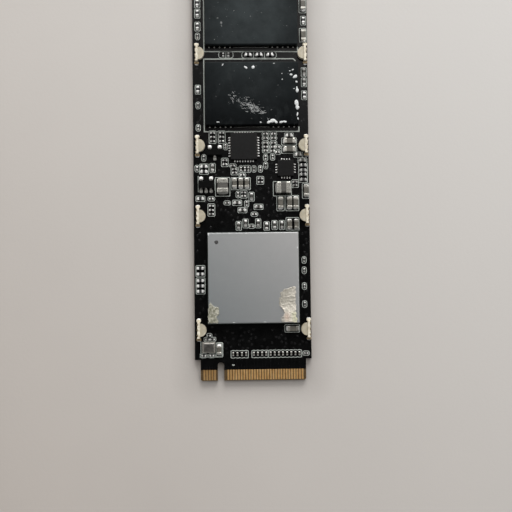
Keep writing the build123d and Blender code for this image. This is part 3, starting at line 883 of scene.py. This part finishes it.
# Flakes: x, y, half sizes, turn in degrees, height
flakes = (
    (-0.85, 19.2, 0.34, 0.16, -35, 0.07), (0.55, 19.22, 0.30, 0.24, 20, 0.09),
    (-5.2, 19.75, 0.26, 0.10, 60, 0.03), (4.5, 19.95, 0.14, 0.10, 0, 0.03),
    (8.05, 18.7, 0.22, 0.13, 30, 0.06), (7.5, 18.5, 0.16, 0.10, 0, 0.05), (7.75, 17.8, 0.22, 0.17, 0, 0.07),
    (8.5, 17.4, 0.40, 0.25, 25, 0.09), (6.0, 18.0, 0.12, 0.08, 0, 0.03), (6.05, 16.9, 0.10, 0.12, 0, 0.03),
    (8.75, 16.4, 0.20, 0.22, 50, 0.05), (8.8, 15.3, 0.14, 0.24, 10, 0.05),
    (8.85, 14.75, 0.26, 0.32, 0, 0.08), (8.3, 15.1, 0.15, 0.09, 0, 0.03), (8.75, 12.3, 0.34, 0.62, 8, 0.10),
    (8.9, 11.5, 0.30, 0.38, 0, 0.09), (8.85, 10.2, 0.14, 0.40, -10, 0.05),
    (8.95, 9.4, 0.12, 0.30, 15, 0.04), (3.45, 8.75, 0.36, 0.22, 30, 0.09), (4.15, 9.0, 0.52, 0.28, 5, 0.10),
    (4.75, 8.75, 0.30, 0.20, -25, 0.09), (5.75, 8.72, 0.30, 0.17, 20, 0.08),
    (6.4, 8.78, 0.34, 0.16, -5, 0.08), (1.9, 8.7, 0.20, 0.14, 0, 0.04), (-6.2, 8.8, 0.30, 0.10, 0, 0.03),
)
THICK_FLAKE, THICK_SPREAD, THIN_SPREAD = 0.06, 1.22, 1.05
crumbs = bmesh.new()
for index, (x, y, rx, ry, turn, height) in enumerate(flakes):
    spread = THICK_SPREAD if height > THICK_FLAKE else THIN_SPREAD
    blob(crumbs, x, y, rx * spread, ry * spread, math.radians(turn), height, FLASH, 100 + index)
piece("residue_flakes", crumbs, residue, smooth=True)

# A slanting scuff on the lower package: every fifth stroke is a strong one near its middle
scratches, dust = bmesh.new(), bmesh.new()
scuff = random.Random(5)
SCUFF_LEFT, SCUFF_TOP, SCUFF_WIDTH, SCUFF_DROP = -3.1, 13.5, 6.4, 3.6
for index in range(170):
    strong = index % 5 == 0
    along = min(1.05, max(-0.05, scuff.gauss(0.52, 0.14) if strong else scuff.gauss(0.45, 0.29)))
    x = SCUFF_LEFT + SCUFF_WIDTH * along + scuff.gauss(0, 0.3 if strong else 0.5)
    y = SCUFF_TOP - SCUFF_DROP * along + scuff.gauss(0, 0.3 if strong else 0.6)
    size = scuff.uniform(0.08, 0.16) if strong else 0.04 + 0.11 * scuff.random() ** 2.5
    turn = math.radians(scuff.uniform(-75, 25))
    blob(scratches, x, y, size * 3.2, size * 0.45, turn, 0.012, FLASH, 300 + index, rings=2, sides=9)
# Three specks on the upper package, and dust on both
for index, (x, y, rx, ry) in enumerate(((-6.1, 28.7, 0.20, 0.14), (-5.4, 27.8, 0.24, 0.26),
                                        (-5.35, 27.2, 0.10, 0.3))):
    blob(dust, x, y, rx, ry, 0.3, 0.02, FLASH, 500 + index)
for index in range(60):
    x, y = scuff.uniform(-8.0, 8.6), scuff.choice((scuff.uniform(8.8, 19.8), scuff.uniform(24.2, 35.0)))
    size = 0.04 + 0.07 * scuff.random() ** 2
    blob(dust, x, y, size * 1.6, size, scuff.uniform(0, 3), 0.01, FLASH, 600 + index, rings=2, sides=7)
piece("residue_scuffs", scratches, haze, smooth=True)
piece("residue_dust", dust, dusty, smooth=True)

# Torn foil on the controller's lid. Without a seed, Blender's noise vectors change from run to run.
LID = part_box("controller_lid")[1].z / MM
FOIL_GAUGE = 0.012
noise.seed_set(4)


def inside(x, y, outline):
    odd = False
    for (x0, y0), (x1, y1) in zip(outline, outline[1:] + outline[:1]):
        if (y0 > y) != (y1 > y) and x < x0 + (y - y0) / (y1 - y0) * (x1 - x0):
            odd = not odd
    return odd


def away(point, start, end):
    """Distance of a point from a straight stretch."""
    point, start, end = Vector(point), Vector(start), Vector(end)
    along = (point - start).dot(end - start) / (end - start).length_squared
    return (point - start.lerp(end, min(1.0, max(0.0, along)))).length


def torn_sheet(name, outline, creases, cell=0.085):
    """A crinkled scrap of foil, torn along its outline and raised at its creases."""
    bm = bmesh.new()
    tear_depth, bend_depth, crease_width = 0.2, 0.3, 0.14
    xs = [point[0] for point in outline]
    ys = [point[1] for point in outline]
    columns = int((max(xs) - min(xs)) / cell) + 2
    rows = int((max(ys) - min(ys)) / cell) + 2
    grid = {}
    for i in range(columns):
        for j in range(rows):
            x, y = min(xs) + i * cell, min(ys) + j * cell
            tear = noise.noise_vector(Vector((x * 2.1, y * 2.1, 4.0)))
            if not inside(x + tear_depth * tear.x, y + tear_depth * tear.y, outline):
                continue
            ridge = 1 - abs(noise.noise(Vector((x * 0.7, y * 0.5, 1.0))))
            fine = 1 - abs(noise.noise(Vector((x * 2.1 + 7, y * 1.6, 3.0))))
            lift = FOIL_GAUGE + 0.05 * ridge ** 9 + 0.05 * fine ** 5
            bend = noise.noise_vector(Vector((x * 1.2, y * 1.2, 9.0)))
            strength = 0.05 + 0.05 * noise.noise(Vector((x * 1.6, y * 1.6, 5.0)))
            for start, end in creases:
                distance = away((x + bend_depth * bend.x, y + bend_depth * bend.y), start, end)
                lift += strength * math.exp(-(distance / crease_width) ** 2)
            jitter = noise.noise_vector(Vector((x * 9, y * 9, 0.0))) * 0.02
            grid[i, j] = bm.verts.new((x + jitter.x, y + jitter.y, LID + lift))
    for i, j in list(grid):
        corners = [grid.get((i + a, j + b)) for a, b in ((0, 0), (1, 0), (1, 1), (0, 1))]
        if all(corners):
            bm.faces.new(corners)
    loose = [vert for vert in bm.verts if not vert.link_faces]
    bmesh.ops.delete(bm, geom=loose, context="VERTS")
    obj = piece(name, bm, foil, smooth=True)
    if obj.data.polygons[0].normal.z < 0:
        obj.data.flip_normals()
    solid = obj.modifiers.new("gauge", "SOLIDIFY")
    solid.thickness = FOIL_GAUGE * MM
    solid.offset = -1


torn_sheet("foil_scrap_right",
           [(7.60, -22.28), (8.02, -22.5), (8.06, -24.0), (8.08, -26.0), (8.16, -27.5), (8.30, -28.5),
            (8.36, -29.1), (5.35, -29.1), (5.25, -28.6), (5.45, -28.0), (5.80, -27.24), (5.59, -26.5),
            (5.10, -26.1), (4.90, -25.6), (4.95, -25.0), (5.10, -24.3), (5.16, -23.34), (6.0, -22.9),
            (6.9, -22.6)],
           creases=(((5.25, -23.35), (6.3, -22.9)), ((6.3, -22.9), (7.7, -22.42)),
                    ((6.2, -24.45), (7.95, -24.4)), ((6.3, -25.1), (7.8, -25.0)),
                    ((5.0, -25.2), (5.3, -26.0)), ((5.2, -26.05), (5.7, -26.5)),
                    ((5.4, -25.75), (6.9, -25.75)), ((5.7, -26.5), (5.85, -27.1)),
                    ((6.4, -28.3), (7.4, -27.2))))
torn_sheet("foil_scrap_left",
           [(-8.35, -25.6), (-8.05, -25.2), (-7.7, -25.4), (-7.25, -25.9), (-6.6, -25.95), (-6.22, -26.2),
            (-6.25, -27.3), (-6.5, -27.6), (-6.8, -28.0), (-6.35, -28.7), (-6.5, -29.1), (-8.45, -29.1)],
           creases=(((-8.2, -25.5), (-7.3, -26.0)), ((-7.2, -26.9), (-6.5, -27.3)),
                    ((-8.2, -28.7), (-7.3, -28.4))))

# Index dot and glue marks on the lid
marks = bmesh.new()
blob(marks, -6.7, -13.9, 0.40, 0.40, 0.0, 0.012, LID + 0.004, 3, rings=3, sides=24)
piece("index_dot", marks, ink_dot, smooth=True)
glue = bmesh.new()
for index, (x, y, rx, ry, turn) in enumerate(((-8.2, -12.45, 0.12, 0.32, 10), (-4.3, -12.3, 0.30, 0.08, 0),
                                              (8.48, -15.1, 0.10, 0.26, 0), (-1.2, -12.32, 0.22, 0.07, 0),
                                              (2.2, -28.95, 0.35, 0.07, 0), (-3.6, -28.98, 0.28, 0.06, 0))):
    blob(glue, x, y, rx, ry, math.radians(turn), 0.03, LID, 40 + index, rings=3, sides=12)
piece("glue_marks", glue, residue, smooth=True)

# Floor: painted light paler to the upper right, painted shadow close to the card. The floor and lights are
# placed in metres.
desk = finish("pale_floor", (0.460, 0.424, 0.394), (0.484, 0.447, 0.415), (0.7, 0.85), size=30.0, bump=0.02,
              bump_size=0.6, specular=0.2)
tree = desk.node_tree
floor_x, floor_y = part_of(tree, "X"), part_of(tree, "Y")
# Painted light: the floor pales towards the upper right
painted_light_drift = math_of(tree, "ADD", remap(tree, floor_x, -60, 60, 0.0, 0.62),
                remap(tree, floor_y, -65, 30, 0.0, 0.42))
recolour(desk, painted_light_drift, (0.606, 0.595, 0.580))
# Painted shadow: the floor darkens towards the card's outline, fading out over five millimetres
CARD_HALF_WIDTH, CARD_HALF_LENGTH, PAINTED_SHADOW_REACH = 11.0, 40.0, 5.0
squares = []
for value, card_half in ((floor_x, CARD_HALF_WIDTH), (floor_y, CARD_HALF_LENGTH)):
    outside = math_of(tree, "SUBTRACT", math_of(tree, "ABSOLUTE", value), card_half)
    outside = math_of(tree, "MAXIMUM", outside, 0.0)
    squares.append(times(tree, outside, outside))
distance = math_of(tree, "POWER", math_of(tree, "ADD", *squares), 0.5)
recolour(desk, remap(tree, distance, 0.0, PAINTED_SHADOW_REACH, 0.3, 0.0), (0.25, 0.23, 0.215))
FLOOR_HALF, FLOOR_DROP = 0.6, 0.00003
bm = bmesh.new()
bmesh.ops.create_grid(bm, x_segments=8, y_segments=8, size=FLOOR_HALF)
floor_mesh = bpy.data.meshes.new("floor")
bm.to_mesh(floor_mesh)
bm.free()
floor_mesh.materials.append(desk)
floor = bpy.data.objects.new("floor", floor_mesh)
floor.location = (0, 0, -FLOOR_DROP)
bpy.context.scene.collection.objects.link(floor)


def area_light(name, where, size, watts, colour):
    data = bpy.data.lights.new(name, "AREA")
    data.shape = "RECTANGLE"
    data.size, data.size_y = size
    data.energy = watts
    data.color = colour
    obj = bpy.data.objects.new(name, data)
    obj.location = where
    aim = Vector((0, -0.01, 0)) - Vector(where)
    obj.rotation_euler = aim.to_track_quat("-Z", "Y").to_euler()
    bpy.context.scene.collection.objects.link(obj)


area_light("window", (0.08, 0.52, 0.25), (0.40, 0.24), 3.6, (1.0, 0.985, 0.965))
area_light("left_fill", (-0.42, 0.06, 0.26), (0.24, 0.34), 0.4, (1.0, 0.96, 0.92))
area_light("right_fill", (0.46, -0.02, 0.26), (0.24, 0.34), 0.45, (1.0, 0.995, 0.99))

# World: pale walls under a dark ceiling, brighter on the far side, with one soft glare
world = bpy.data.worlds.new("studio")
world.use_nodes = True
tree = world.node_tree
background = tree.nodes["Background"]
sky = socket(tree, "ShaderNodeTexCoord", "Generated")
overhead = Vector((-0.06, -0.24, 1.0)).normalized()
rise = socket(tree, "ShaderNodeVectorMath", "Value", {0: sky, 1: overhead}, operation="DOT_PRODUCT")
split = tree.nodes.new("ShaderNodeSeparateXYZ")
tree.links.new(sky, split.inputs[0])
walls = times(tree, remap(tree, rise, 0.66, 0.94, 1.0, 0.025),
              remap(tree, split.outputs["Y"], -0.7, 0.3, 0.6, 1.0))
glare = Vector((0.19, 0.50, 0.85)).normalized()
facing = socket(tree, "ShaderNodeVectorMath", "Value", {0: sky, 1: glare}, operation="DOT_PRODUCT")
light = math_of(tree, "ADD", walls, remap(tree, facing, 0.94, 1.0, 0.0, 3.0))
background.inputs["Color"].default_value = (0.80, 0.785, 0.77, 1.0)
tree.links.new(times(tree, light, 0.82), background.inputs["Strength"])
bpy.context.scene.world = world

# Camera: straight above the controller, a little tilted, as the photograph was taken
PICTURE_WIDTH, FOCAL_LENGTH, SENSOR = 512, 600, 36.0
CAMERA_PLACE, CAMERA_TILT = (-1.53, -20.255, 114.46), (-1.87, -1.13, -0.64)
tilt = [math.radians(angle) for angle in CAMERA_TILT]
turn = Matrix.Rotation(tilt[2], 3, "Z") @ Matrix.Rotation(tilt[1], 3, "Y") @ Matrix.Rotation(tilt[0], 3, "X")
turn = turn @ Matrix(((1, 0, 0), (0, -1, 0), (0, 0, -1)))
axes = Matrix((turn[0], -turn[1], -turn[2])).transposed()
camera_data = bpy.data.cameras.new("camera")
camera_data.sensor_fit = "HORIZONTAL"
camera_data.sensor_width = SENSOR
camera_data.lens = FOCAL_LENGTH / PICTURE_WIDTH * SENSOR
camera_data.clip_start = 0.005
camera = bpy.data.objects.new("camera", camera_data)
camera.matrix_world = Matrix.Translation(Vector(CAMERA_PLACE) * MM) @ axes.to_4x4()
bpy.context.scene.collection.objects.link(camera)
bpy.context.scene.camera = camera
bpy.context.scene.view_settings.view_transform = "Standard"
